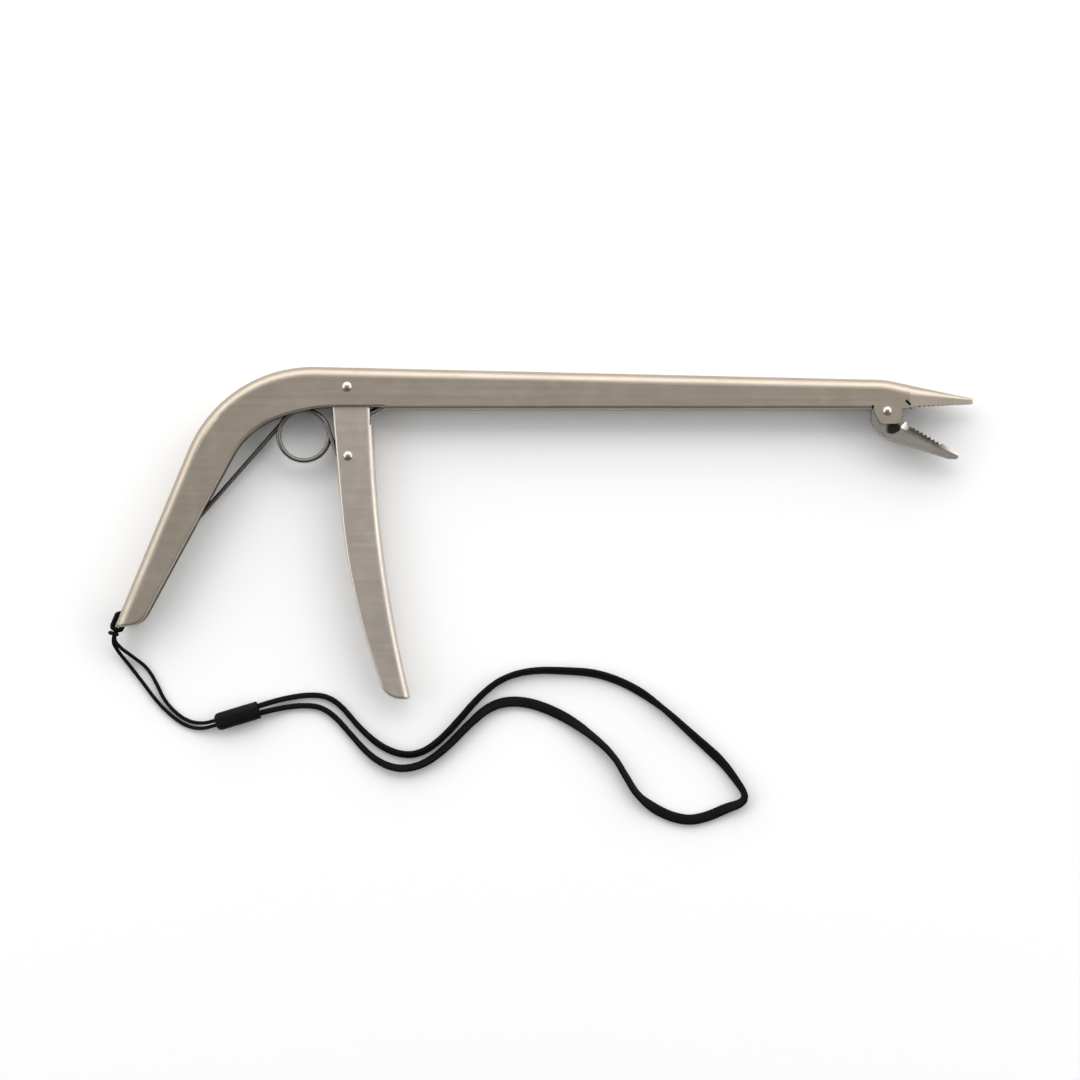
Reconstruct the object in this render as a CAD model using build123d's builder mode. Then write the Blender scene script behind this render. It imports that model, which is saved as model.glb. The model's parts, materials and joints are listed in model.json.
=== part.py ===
from build123d import *

import os
from math import asin, atan2, cos, degrees, hypot, pi, radians, sin, sqrt, tan

# A pistol-grip fish gripper. One folded steel channel is the barrel, the handle and the fixed nose.
# Squeezing the trigger pulls a rod back along the barrel, which closes a toothed jaw on the nose.
# A torsion spring opens it again. A wrist lanyard is hitched through the end of the handle.
#
# The tool lies on its side. +X runs along the barrel to the nose, +Y from the trigger up to the
# barrel, and +Z out of the side wall. The origin is under the middle of the tool, on the surface it
# lies on. Millimetres and degrees. Outlines are drawn from the trigger pivot, on the plane `middle`.

# ---- Body: barrel, handle and nose folded from one sheet ----
body_width = 9.0
body_sheet = 1.0
body_bend = 2.8  # outer radius of the two long bends
nose_reach = 176.0  # trigger pivot to the tip of the nose
barrel_rise = 5.45  # trigger pivot up to the barrel's top
barrel_front_rise = 1.99  # the same height where the top turns down into the nose
tail_back, tail_drop = 65.6, 67.8  # trigger pivot to the sharp corner of the handle's end
tail_round = 0.8
handle_angle = 67.4  # slope of the handle's back
back_radius = 38.0  # bend from the handle's back into the barrel's top
handle_end = (7.9, 1.1)  # from the tail corner to the corner in front of it
handle_end_round = 6.0
throat_low, throat_low_radius = (-28.05, -11.8), 23.0  # corner of the open edge, handle to barrel
throat_high, throat_high_radius = (-11.0, -5.7), 48.0

# ---- Lips: the barrel's lower edges, curled inwards ----
lip_start = 10.5  # just in front of the trigger
lip_bottom = -6.45
lip_sheet = 1.0
lip_bend = 1.2
lip_slot = 3.5  # the gap left between the two lips

# ---- Nose and jaw ears ----
nose_length = 18.0
nose_tip_width = 2.6
nose_tip_top, nose_tip_bottom = -3.3, -4.85
nose_bottom = -5.6  # underside of the nose at its root
nose_tip_round = 0.45
nose_step = 0.06  # the pressed nose starts this far inside the channel's faces
bite_sheet = 0.9
bite_seam = 1.2
shoulder_from_tip = 24.8  # where the barrel's top turns down into the nose
shoulder_radius = 20.0
jaw_from_tip, jaw_pivot_y = 24.3, -6.8
ear_rear, ear_front, ear_bottom = -4.0, 4.1, -3.6  # from the jaw pivot
ear_round = 1.6
ear_relief = 0.6
wall_bottom = -6.05  # lower edge of the side wall in front of the ear
foot_radius = 0.75

# ---- Trigger: a channel open to the rear ----
trigger_sheet = 1.0
trigger_bend = 2.0
trigger_drop = 88.0  # trigger pivot down to the tip of the trigger
trigger_tip_x = 17.8
web_top = (7.2, -10.7)
cheek_front = 6.3
cheek_rear, cheek_level = -4.2, -6.1
cheek_round = 3.1
trigger_tip_round = 0.8

# ---- Jaw: a toothed scoop on two narrow cheeks ----
jaw_sheet = 0.9
jaw_open_angle = -30.6  # slope of the tooth line when the jaw is open
jaw_reach = 23.9
jaw_tip_width = 2.6
jaw_tip_round = 0.7
jaw_crease, crease_angle = 2.63, 5.0  # crease in the jaw's sides: below the pivot, to the tooth line
jaw_lean = 22.0  # the sides lean in above the crease
tooth_start, tooth_pitch, tooth_depth, tooth_count = 6.4, 1.3, 0.75, 9
jaw_lobe = 1.7

# ---- Motion ----
jaw_travel = 34.0
trigger_travel = 19.0
jaw_arm = 4.6  # jaw pivot to the rod's front pin

# ---- Rod, pins, rivets and bushes ----
rod_radius = 1.0
rod_eye_thickness = 1.8
rod_eye_wall = 1.0
pin_radius = 0.9
front_eye_clearance = 0.3  # the front eye is the loose joint of the linkage
eye_gap = 0.3  # at least, from the front eye to the jaw's bush
pivot_rivet_radius, pivot_head_radius = 1.1, 1.45
jaw_rivet_radius, jaw_head_radius = 1.0, 1.35
anchor_rivet_radius, anchor_head_radius = 1.0, 1.4
anchor = (0.2, -19.4)
head_height = 0.7
bush_wall = 0.8

# ---- Spring ----
wire_radius = 0.65
coil_radius = 7.1  # to the middle of the wire
coil_centre = (-12.3, -13.6)
coil_pitch = 1.45
coil_whole_turns = 2
rear_leg_angle = 48.7
front_leg_z = 1.3
hook_turn = 150.0

# ---- Clearances ----
side_gap = 0.2  # channel walls beside the trigger and the jaw
running_gap = 0.05  # radial, round a pin that turns
staked_gap = 0.02  # radial, round a pin that is staked fast
face_gap = 0.05  # ends of a bush
hook_gap = 0.15  # spring hook round its bush

# ---- Lanyard ----
lanyard_hole_radius = 1.5
lanyard_hole_up = 4.5  # hole to tail corner, along the handle's back
string_radius = 0.55
hitch_width = 2.2
cord_radius = 0.85
slider_rear, slider_front = (-92.9, -53.5), (-80.7, -49.8)
slider_width, slider_height, slider_wall = 5.0, 4.2, 0.45
slider_round = 1.9
slider_end_wall, slider_end_hole = 1.2, (1.4, 2.7)
ferrule_start, ferrule_length = 3.5, 6.0  # from the slider's rear end


# ---- Places that follow from those sizes ----
def crossing(p, p_angle, q, q_angle):
    """The point where the line through p at p_angle meets the line through q at q_angle."""
    ux, uy = cos(radians(p_angle)), sin(radians(p_angle))
    vx, vy = cos(radians(q_angle)), sin(radians(q_angle))
    along = ((q[0] - p[0]) * vy - (q[1] - p[1]) * vx) / (ux * vy - uy * vx)
    return p[0] + along * ux, p[1] + along * uy


def slope(p, q):
    return degrees(atan2(q[1] - p[1], q[0] - p[0]))


def shifted(path, distance):
    """An open path of straight runs, moved to its right by a distance."""
    runs = list(zip(path, path[1:]))
    slopes = [slope(p, q) for p, q in runs]
    side = [(distance * sin(radians(a)), -distance * cos(radians(a))) for a in slopes]
    moved = [(path[0][0] + side[0][0], path[0][1] + side[0][1])]
    for i, corner in enumerate(path[1:-1]):
        start = (corner[0] + side[i][0], corner[1] + side[i][1])
        end = (corner[0] + side[i + 1][0], corner[1] + side[i + 1][1])
        moved.append(crossing(start, slopes[i], end, slopes[i + 1]))
    moved.append((path[-1][0] + side[-1][0], path[-1][1] + side[-1][1]))
    return moved


def at_x(p, q, x):
    """The point at x on the line from p to q."""
    return x, p[1] + (x - p[0]) * (q[1] - p[1]) / (q[0] - p[0])


tail = (-tail_back, -tail_drop)
shoulder = (nose_reach - shoulder_from_tip, barrel_front_rise)
barrel_taper = degrees(atan2(barrel_rise - barrel_front_rise, shoulder[0]))
back_corner = crossing(tail, handle_angle, shoulder, -barrel_taper)
nose_top = (nose_reach, nose_tip_top)
nose_root_x = nose_reach - nose_length
handle_front = (tail[0] + handle_end[0], tail[1] + handle_end[1])
jaw_pivot = (nose_reach - jaw_from_tip, jaw_pivot_y)
lip_end = jaw_pivot[0] + ear_rear - ear_relief + 0.2

outer_path = [tail, back_corner, shoulder, nose_top]
inner_path = shifted(outer_path, body_sheet)
outer_root = at_x(shoulder, nose_top, nose_root_x)
inner_root = at_x(inner_path[2], inner_path[3], nose_root_x)

# The box round the tool gives the origin.
back_turn = radians(handle_angle + barrel_taper)
top_start_x = back_corner[0] + back_radius * tan(back_turn / 2)
crown = back_radius * (1 - cos(radians(barrel_taper)))
top_rise = barrel_rise - top_start_x * tan(radians(barrel_taper)) + crown
end_angle = slope(tail, handle_front)
tail_half = radians(handle_angle - end_angle) / 2
tail_middle = radians(handle_angle + end_angle) / 2
tail_reach = tail_back - tail_round / sin(tail_half) * cos(tail_middle) + tail_round
pivot_x = (tail_reach - nose_reach) / 2
pivot_y = (trigger_drop - top_rise) / 2
middle_z = body_width / 2 + head_height
middle = Plane(origin=(pivot_x, pivot_y, middle_z))

body_inside = body_width - 2 * body_sheet
trigger_width = body_inside - 2 * side_gap
trigger_inside = trigger_width - 2 * trigger_sheet
cheek_width = body_inside - 2 * side_gap
cheek_inside = cheek_width - 2 * jaw_sheet

# The rod moves by the same amount at both pins, and both arms swing evenly about upright.
rod_travel = 2 * jaw_arm * sin(radians(jaw_travel / 2))
trigger_arm = rod_travel / (2 * sin(radians(trigger_travel / 2)))
half_swing = radians(trigger_travel / 2)
rear_pin = (trigger_arm * sin(half_swing), -trigger_arm * cos(half_swing))
pin_from_jaw = (jaw_arm * sin(radians(jaw_travel / 2)), jaw_arm * cos(radians(jaw_travel / 2)))
front_pin = (jaw_pivot[0] + pin_from_jaw[0], jaw_pivot[1] + pin_from_jaw[1])
# Half way through the stroke the two pins are this much closer in height than at its ends.
jaw_arc_height = jaw_arm * (1 - cos(radians(jaw_travel / 2)))
trigger_arc_height = trigger_arm * (1 - cos(radians(trigger_travel / 2)))
height_change = jaw_arc_height + trigger_arc_height
front_eye = (front_pin[0], front_pin[1] + height_change / 2)


def place(x, y, z=0.0):
    """A point of the drawing plane, in the model's own frame."""
    return Vector(pivot_x + x, pivot_y + y, middle_z + z)


def bends(part, points):
    """The flat edges, on both sides, of the faces nearest to some points of the outline."""
    edges = [
        edge
        for x, y in points
        for edge in part.faces().sort_by_distance(place(x, y))[0].edges()
        if edge.bounding_box().size.Z < 0.001
    ]
    return edges


def turn_middle(corner, before, after, radius):
    """The middle of the arc that rounds a corner between two points."""
    a = radians(slope(corner, before))
    b = radians(slope(corner, after))
    half = abs((b - a + radians(180)) % radians(360) - radians(180)) / 2
    reach = radius / sin(half) - radius
    x, y = cos(a) + cos(b), sin(a) + sin(b)
    return corner[0] + reach * x / hypot(x, y), corner[1] + reach * y / hypot(x, y)


def halfway(p, q):
    return (p[0] + q[0]) / 2, (p[1] + q[1]) / 2


def write(builder, label):
    builder.part.label = label
    export_step(builder.part, f"parts/{label}.step")


os.makedirs("parts", exist_ok=True)

# ---- body_channel ----
# The space inside the channel, open along the handle's front and under the trigger and the jaw
below = -20.0
space_start = crossing(inner_path[0], handle_angle, (0, -tail_drop - 8), 0)
with BuildPart() as channel_space:
    with BuildSketch(middle):
        with BuildLine():
            Polyline(
                space_start,
                inner_path[1],
                inner_path[2],
                inner_root,
                (nose_root_x, below),
                (lip_end, below),
                (lip_end, lip_bottom + lip_sheet),
                (lip_start, lip_bottom + lip_sheet),
                (lip_start, below),
                (throat_low[0] + 8, below),
                (handle_front[0] + 12, space_start[1]),
                close=True,
            )
        make_face()
        fillet(vertices().sort_by_distance(inner_path[1])[0], back_radius - body_sheet)
        fillet(vertices().sort_by_distance(inner_path[2])[0], shoulder_radius - body_sheet)
    extrude(amount=body_inside / 2, both=True)
    inner_points = [
        halfway(inner_path[0], inner_path[1]),
        turn_middle(inner_path[1], inner_path[0], inner_path[2], back_radius - body_sheet),
        halfway(inner_path[1], inner_path[2]),
        turn_middle(inner_path[2], inner_path[1], inner_path[3], shoulder_radius - body_sheet),
        halfway(inner_path[2], inner_root),
    ]
    fillet(bends(channel_space, inner_points), body_bend - body_sheet)

# The tapering space inside the nose
hollow_end_x = nose_reach - nose_length / 3
with BuildPart() as nose_space:
    for x, top, width in (
        (nose_root_x, inner_root[1], body_inside),
        (
            hollow_end_x,
            at_x(inner_path[2], inner_path[3], hollow_end_x)[1],
            body_inside + (nose_tip_width - body_width) * (1 - 1 / 3),
        ),
    ):
        floor_y = at_x((nose_root_x, nose_bottom), (nose_reach, nose_tip_bottom), x)[1] + bite_sheet
        with BuildSketch(Plane(origin=place(x, 0), x_dir=(0, 1, 0), z_dir=(1, 0, 0))):
            with Locations(((top + floor_y) / 2, 0)):
                Rectangle(top - floor_y, width)
    loft()

with BuildPart() as body_channel:
    ear = [
        (jaw_pivot[0] + ear_front, wall_bottom),
        (jaw_pivot[0] + ear_front - 0.5, jaw_pivot[1] + ear_bottom),
        (jaw_pivot[0] + ear_rear + 2.1, jaw_pivot[1] + ear_bottom),
        (jaw_pivot[0] + ear_rear + 0.2, jaw_pivot[1]),
    ]
    with BuildSketch(middle):
        with BuildLine():
            Polyline(
                *outer_path[:3],
                outer_root,
                (nose_root_x, wall_bottom),
                *ear,
                (ear[3][0], lip_bottom + 1.25 * lip_sheet),
                (lip_end, lip_bottom + 1.25 * lip_sheet),
                (lip_end, lip_bottom),
                (lip_start, lip_bottom),
                (lip_start, throat_high[1]),
                throat_high,
                throat_low,
                handle_front,
                close=True,
            )
        make_face()
        for corner, radius in (
            (back_corner, back_radius),
            (shoulder, shoulder_radius),
            (ear[1], ear_round),
            (ear[2], ear_round),
            (throat_high, throat_high_radius),
            (throat_low, throat_low_radius),
            (handle_front, handle_end_round),
        ):
            fillet(vertices().sort_by_distance(corner)[0], radius)
    extrude(amount=body_width / 2, both=True)
    outer_points = [
        halfway(tail, back_corner),
        turn_middle(back_corner, tail, shoulder, back_radius),
        halfway(back_corner, shoulder),
        turn_middle(shoulder, back_corner, nose_top, shoulder_radius),
        halfway(shoulder, outer_root),
    ]
    fillet(bends(body_channel, outer_points), body_bend)
    fillet(edges().filter_by(Axis.Z).sort_by_distance(place(*tail))[0], tail_round)
    fillet(bends(body_channel, [((lip_start + lip_end) / 2, lip_bottom)]), lip_bend)
    # The nose narrows to a blunt tip.
    root_top, root_width = outer_root[1] - nose_step, body_width - 2 * nose_step
    for x, top, bottom, width, bend in (
        (nose_root_x, root_top, nose_bottom, root_width, body_bend),
        (nose_reach, nose_tip_top, nose_tip_bottom, nose_tip_width, nose_tip_round),
    ):
        with BuildSketch(Plane(origin=place(x, 0), x_dir=(0, 1, 0), z_dir=(1, 0, 0))):
            with Locations(((top + bottom) / 2, 0)):
                Rectangle(top - bottom, width)
            fillet(vertices().group_by(Axis.X)[-1], bend)
    loft()
    fillet(faces().sort_by(Axis.X)[-1].edges(), nose_tip_round)
    # A rounded foot under the root of the nose, where the sheet turns in
    with BuildSketch(middle):
        with Locations((nose_root_x + 0.9, nose_bottom + 0.2)):
            Circle(foot_radius)
    extrude(amount=body_width / 2 - 0.4, both=True)
    add(channel_space.part, mode=Mode.SUBTRACT)
    add(nose_space.part, mode=Mode.SUBTRACT)
    # The slot between the lips, and the seam in the nose's underside
    with BuildSketch(middle):
        with Locations(((lip_start + lip_end) / 2, lip_bottom + lip_sheet / 2)):
            Rectangle(lip_end - lip_start + 2, lip_sheet * 1.5)
    extrude(amount=lip_slot / 2, both=True, mode=Mode.SUBTRACT)
    with BuildSketch(middle):
        with Locations(((nose_root_x + hollow_end_x) / 2, nose_bottom)):
            Rectangle(hollow_end_x - nose_root_x, 2 * bite_sheet + 0.6)
    extrude(amount=bite_seam / 2, both=True, mode=Mode.SUBTRACT)
    # Fine grooves across the nose's bite face
    bite_slope = slope((nose_root_x, nose_bottom), (nose_reach, nose_tip_bottom))
    groove_count = 9
    with BuildSketch(middle):
        for i in range(groove_count):
            x = nose_root_x + 2.8 + i * tooth_pitch
            y = at_x((nose_root_x, nose_bottom), (nose_reach, nose_tip_bottom), x)[1]
            with Locations(Location((x, y), bite_slope + 45)):
                Rectangle(0.5, 0.5)
    extrude(amount=body_width / 2, both=True, mode=Mode.SUBTRACT)
    # Rivet holes, and the short relief slot behind the foot
    with BuildSketch(middle):
        with Locations((0, 0)):
            Circle(pivot_rivet_radius + staked_gap)
        with Locations(jaw_pivot):
            Circle(jaw_rivet_radius + staked_gap)
        with Locations(Location((nose_root_x - 0.5, wall_bottom + 1.6), -45)):
            SlotOverall(2.0, 0.8)
    extrude(amount=body_width, both=True, mode=Mode.SUBTRACT)
    # The lanyard hole through the back of the handle, just above its end
    hole = (
        tail[0] + lanyard_hole_up * cos(radians(handle_angle)),
        tail[1] + lanyard_hole_up * sin(radians(handle_angle)),
    )
    out_of_back = (-sin(radians(handle_angle)), cos(radians(handle_angle)), 0)
    with BuildSketch(Plane(origin=place(*hole), z_dir=out_of_back)):
        Circle(lanyard_hole_radius)
    extrude(amount=2 * body_sheet, both=True, mode=Mode.SUBTRACT)
write(body_channel, "body_channel")

# ---- trigger_lever ----
trigger_tip = (trigger_tip_x, -trigger_drop)
front_path = [web_top, (9.4, -0.601 * trigger_drop), trigger_tip]
front_radius = 355.0
inner_front = shifted(front_path, trigger_sheet)
heel, heel_radius = (10.7, 0.5 - trigger_drop), 6.0
rear_bow, rear_bow_radius = (0.17, -0.649 * trigger_drop), 190.0

with BuildPart() as trigger_space:
    with BuildSketch(middle):
        with BuildLine():
            Polyline(
                (cheek_rear - 6, cheek_round + 2),
                (web_top[0] + 4, cheek_round + 2),
                (web_top[0] + 4, web_top[1]),
                (inner_front[0][0], web_top[1]),
                inner_front[1],
                at_x(inner_front[1], inner_front[2], trigger_tip_x + 2),
                (heel[0] - 6, -trigger_drop - 8),
                (cheek_rear - 6, rear_bow[1]),
                close=True,
            )
        make_face()
        fillet(vertices().sort_by_distance(inner_front[1])[0], front_radius + trigger_sheet)
    extrude(amount=trigger_inside / 2, both=True)

with BuildPart() as trigger_lever:
    with BuildSketch(middle):
        with BuildLine():
            Polyline(
                (cheek_rear, cheek_level),
                (cheek_front, cheek_level),
                (cheek_front, web_top[1]),
                *front_path,
                heel,
                rear_bow,
                close=True,
            )
        make_face()
        fillet(vertices().sort_by_distance(front_path[1])[0], front_radius)
        fillet(vertices().sort_by_distance(rear_bow)[0], rear_bow_radius)
        fillet(vertices().sort_by_distance(heel)[0], heel_radius)
        with BuildLine():
            Polyline(
                (cheek_rear, cheek_level),
                (-cheek_round, 0),
                (cheek_round, 0),
                (cheek_front, cheek_level),
                close=True,
            )
        make_face()
        Circle(cheek_round)
    extrude(amount=trigger_width / 2, both=True)
    front_middle = turn_middle(front_path[1], front_path[0], front_path[2], front_radius)
    fillet(bends(trigger_lever, [front_middle]), trigger_bend)
    fillet(edges().filter_by(Axis.Z).sort_by_distance(place(*trigger_tip))[0], trigger_tip_round)
    add(trigger_space.part, mode=Mode.SUBTRACT)
    with BuildSketch(middle):
        with Locations((0, 0)):
            Circle(pivot_rivet_radius + running_gap)
        with Locations(anchor):
            Circle(anchor_rivet_radius + staked_gap)
    extrude(amount=trigger_width, both=True, mode=Mode.SUBTRACT)
write(trigger_lever, "trigger_lever")

# ---- lower_jaw ----
jaw_direction = (cos(radians(jaw_open_angle)), sin(radians(jaw_open_angle)), 0)
jaw_plane = Plane(origin=place(*jaw_pivot), x_dir=jaw_direction, z_dir=(0, 0, 1))
jaw_pin = Vector(*pin_from_jaw).rotate(Axis.Z, -jaw_open_angle)
# Outlines in the jaw's own frame: its tooth line is the x axis, and its pivot is the origin.
rear_edge = [(-3.9, -1.6), (-2.35, -4.45), (-1.2, -5.3), (2.6, -6.45)]
underside = [(3.9, -6.5), (8.4, -5.65), (jaw_reach - 2.1, -2.7)]
tip_low, tip_high = (jaw_reach + 0.1, -1.5), (jaw_reach - 0.2, 0.2)
rim = [(tooth_start - 0.5, 0.0), (5.5, -1.6), (5.8, -3.0), (4.8, -4.7), (2.85, -5.6), (1.4, -5.9)]
scoop_width = body_width - 2 * side_gap
scoop_parallel = 7.0  # from the pivot, where the scoop starts to narrow


def scoop_plan(width, tip_width):
    """Half of the scoop's outline from above, on each side of its middle."""
    return [
        (-1, width / 2),
        (scoop_parallel, width / 2),
        (jaw_reach + 1, tip_width / 2),
        (jaw_reach + 1, -tip_width / 2),
        (scoop_parallel, -width / 2),
        (-1, -width / 2),
    ]


crease_slope = radians(jaw_open_angle + crease_angle)
plan_plane = Plane(
    origin=place(*jaw_pivot),
    x_dir=(cos(crease_slope), sin(crease_slope), 0),
    z_dir=(-sin(crease_slope), cos(crease_slope), 0),
)


def scoop_form(width, tip_width):
    """The scoop's sides: upright below the crease, leaning in above it."""
    with BuildPart() as form:
        for amount, taper in ((-12, 0), (jaw_crease + 2, jaw_lean)):
            with BuildSketch(plan_plane.offset(-jaw_crease)):
                with BuildLine():
                    Polyline(*scoop_plan(width, tip_width), close=True)
                make_face()
            extrude(amount=amount, taper=taper)
    return form.part


with BuildPart() as scoop_space:
    with BuildSketch(jaw_plane):
        with BuildLine():
            Polyline(
                (0.0, 4.0),
                (0.0, underside[0][1] + jaw_sheet),
                *shifted(underside, -jaw_sheet),
                (tip_low[0] - jaw_sheet, tip_low[1]),
                (tip_high[0] - jaw_sheet, 4.0),
                close=True,
            )
        make_face()
    extrude(amount=body_width, both=True)
    add(scoop_form(scoop_width - 2 * jaw_sheet, jaw_tip_width - 1.4 * jaw_sheet), mode=Mode.INTERSECT)

with BuildPart() as scoop:
    with BuildSketch(jaw_plane):
        with BuildLine():
            Polyline(*rim, *underside, tip_low, tip_high, close=True)
        make_face()
        fillet(vertices().sort_by_distance(underside[2])[0], 4.0)
        fillet(vertices().sort_by_distance(tip_low)[0], jaw_tip_round)
        fillet(vertices().sort_by_distance(tip_high)[0], jaw_tip_round)
    extrude(amount=scoop_width / 2, both=True)
    add(scoop_form(scoop_width, jaw_tip_width), mode=Mode.INTERSECT)
    add(scoop_space.part, mode=Mode.SUBTRACT)

with BuildPart() as lower_jaw:
    # Narrow cheeks sit between the ears and reach up to the rod, with a web behind them.
    with BuildSketch(jaw_plane):
        with Locations(jaw_pin):
            Circle(jaw_lobe)
        Circle(2.9)
        make_hull()
        with BuildLine():
            Polyline(*rear_edge, underside[0], (6.6, -4.6), (5.6, -1.2), (4.0, 3.1), (0, 2.4), close=True)
        make_face()
    extrude(amount=cheek_width / 2, both=True)
    with BuildSketch(jaw_plane):
        with BuildLine():
            Polyline(
                *shifted(rear_edge, -jaw_sheet),
                (9, -5.6),
                (9, 9),
                (-9, 9),
                close=True,
            )
        make_face()
    extrude(amount=cheek_inside / 2, both=True, mode=Mode.SUBTRACT)
    add(scoop.part)
    # One saw-tooth cut makes all the teeth.
    saw = [(tooth_start, 3.0), (tooth_start, 0.0)]
    for i in range(tooth_count):
        saw.append((tooth_start + (i + 0.5) * tooth_pitch, -tooth_depth))
        saw.append((tooth_start + (i + 1) * tooth_pitch, 0.0))
    saw.append((tooth_start + tooth_count * tooth_pitch, 3.0))
    with BuildSketch(jaw_plane):
        with BuildLine():
            Polyline(*saw, close=True)
        make_face()
    extrude(amount=body_width, both=True, mode=Mode.SUBTRACT)
    with BuildSketch(jaw_plane):
        Circle(jaw_rivet_radius + running_gap)
        with Locations(jaw_pin):
            Circle(pin_radius + staked_gap)
    extrude(amount=body_width, both=True, mode=Mode.SUBTRACT)
write(lower_jaw, "lower_jaw")

# ---- pull_rod ----
# A round wire with a flat eye at each end, which rises from the trigger into the barrel
rear_eye_radius = pin_radius + running_gap + rod_eye_wall
# The front eye stays clear of the jaw's bush, however short the jaw's arm is.
jaw_bush_radius = jaw_rivet_radius + running_gap + bush_wall
front_eye_radius = min(
    pin_radius + front_eye_clearance + rod_eye_wall,
    jaw_arm - jaw_bush_radius - eye_gap,
)
rod_route = [
    rear_pin,
    (6.5, -7.4),
    (11.0, -5.0),
    (17.0, -3.6),
    (jaw_pivot[0] - 14, -2.6),
    front_eye,
]
with BuildPart() as pull_rod:
    with BuildLine(middle) as rod_line:
        FilletPolyline(*rod_route, radius=5.0)
    with BuildSketch(Plane(origin=rod_line.wire() @ 0, z_dir=rod_line.wire() % 0)):
        Circle(rod_radius)
    sweep()
    with BuildSketch(middle):
        with Locations(rear_pin):
            Circle(rear_eye_radius)
        with Locations(front_eye):
            Circle(front_eye_radius)
    extrude(amount=rod_eye_thickness / 2, both=True)
    with BuildSketch(middle):
        with Locations(rear_pin):
            Circle(pin_radius + running_gap)
        with Locations(front_eye):
            Circle(pin_radius + front_eye_clearance)
    extrude(amount=body_width, both=True, mode=Mode.SUBTRACT)
write(pull_rod, "pull_rod")


# ---- pins, rivets and bushes ----
def cross_pin(centre, radius, length):
    with BuildPart() as pin:
        with BuildSketch(middle):
            with Locations(centre):
                Circle(radius)
        extrude(amount=length / 2, both=True)
        chamfer(edges(), 0.15)
    return pin


def rivet(centre, radius, head_radius, grip):
    """A shank through sheets that are grip apart outside, with a domed head on each side."""
    dome_radius = (head_radius**2 + head_height**2) / (2 * head_height)
    with BuildPart() as pin:
        with BuildSketch(middle):
            with Locations(centre):
                Circle(radius)
        extrude(amount=grip / 2, both=True)
        for side in (1, -1):
            head_base = place(*centre, side * grip / 2)
            with BuildSketch(Plane(origin=head_base, x_dir=(1, 0, 0), z_dir=(0, -side, 0))):
                with BuildLine():
                    Polyline((0, head_height), (0, 0), (head_radius, 0))
                    RadiusArc((0, head_height), (head_radius, 0), dome_radius)
                make_face()
            revolve(axis=Axis(place(*centre), (0, 0, 1)))
    return pin


def bush(centre, bore, wall, length):
    with BuildPart() as ring:
        with BuildSketch(middle):
            with Locations(centre):
                Circle(bore + wall)
                Circle(bore, mode=Mode.SUBTRACT)
        extrude(amount=length / 2, both=True)
    return ring


write(rivet((0, 0), pivot_rivet_radius, pivot_head_radius, body_width), "trigger_pivot_rivet")
write(rivet(jaw_pivot, jaw_rivet_radius, jaw_head_radius, body_width), "jaw_pivot_rivet")
write(rivet(anchor, anchor_rivet_radius, anchor_head_radius, trigger_width), "spring_anchor_rivet")
trigger_bush_length = trigger_inside - 2 * face_gap
jaw_bush_length = cheek_inside - 2 * face_gap
pivot_bore = pivot_rivet_radius + running_gap
jaw_bore = jaw_rivet_radius + running_gap
anchor_bore = anchor_rivet_radius + staked_gap
anchor_bush_radius = anchor_bore + bush_wall
write(bush((0, 0), pivot_bore, bush_wall, trigger_bush_length), "trigger_pivot_bush")
write(bush(jaw_pivot, jaw_bore, bush_wall, jaw_bush_length), "jaw_pivot_bush")
write(bush(anchor, anchor_bore, bush_wall, trigger_bush_length), "spring_anchor_bush")
write(cross_pin(rear_pin, pin_radius, trigger_inside), "rod_rear_pin")
write(cross_pin(front_pin, pin_radius, cheek_width), "rod_front_pin")

# ---- return_spring ----
# The wire runs clockwise round the coil, from the leg in the handle to the hook on the anchor bush.
hook_radius = anchor_bush_radius + hook_gap + wire_radius
anchor_distance = hypot(anchor[0] - coil_centre[0], anchor[1] - coil_centre[1])
front_leg_angle = slope(coil_centre, anchor) - degrees(asin((coil_radius + hook_radius) / anchor_distance))
front_leg_length = sqrt(anchor_distance**2 - (coil_radius + hook_radius) ** 2)
coil_turn = 360 * coil_whole_turns + rear_leg_angle - front_leg_angle
coil_height = coil_pitch * coil_turn / 360
coil_end = radians(front_leg_angle + 90)
coil_plane = Plane(
    origin=place(*coil_centre, front_leg_z),
    x_dir=(cos(coil_end), sin(coil_end), 0),
    z_dir=(0, 0, -1),
)
coil = coil_plane * Helix(coil_pitch, coil_height, coil_radius, lefthand=True)


def along(start, angle, distance):
    return start[0] + distance * cos(radians(angle)), start[1] + distance * sin(radians(angle))


# The rear leg runs down the handle until it bears on the inside of the handle's back.
front_start = along(coil_centre, front_leg_angle + 90, coil_radius)
rear_start = along(coil_centre, rear_leg_angle + 90, coil_radius)
web_line = shifted(outer_path, body_sheet + wire_radius + face_gap)
rear_end = crossing(rear_start, rear_leg_angle, web_line[0], handle_angle)
rear_leg_length = hypot(rear_end[0] - rear_start[0], rear_end[1] - rear_start[1])
hook_start = along(front_start, front_leg_angle, front_leg_length)
with BuildPart() as return_spring:
    with BuildSketch(Plane(origin=coil @ 0, z_dir=coil % 0)):
        Circle(wire_radius)
    sweep(path=coil, is_frenet=True)
    with BuildSketch(Plane(origin=coil @ 1, z_dir=coil % 1)):
        Circle(wire_radius)
    extrude(amount=rear_leg_length, dir=place(*rear_end) - place(*rear_start))
    with BuildSketch(Plane(origin=coil @ 0, z_dir=-(coil % 0))):
        Circle(wire_radius)
    extrude(amount=front_leg_length, dir=place(*hook_start) - place(*front_start))
    hook_face = faces().sort_by_distance(place(*hook_start, front_leg_z))[0]
    revolve(hook_face, axis=Axis(place(*anchor), (0, 0, 1)), revolution_arc=hook_turn)
write(return_spring, "return_spring")

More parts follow.
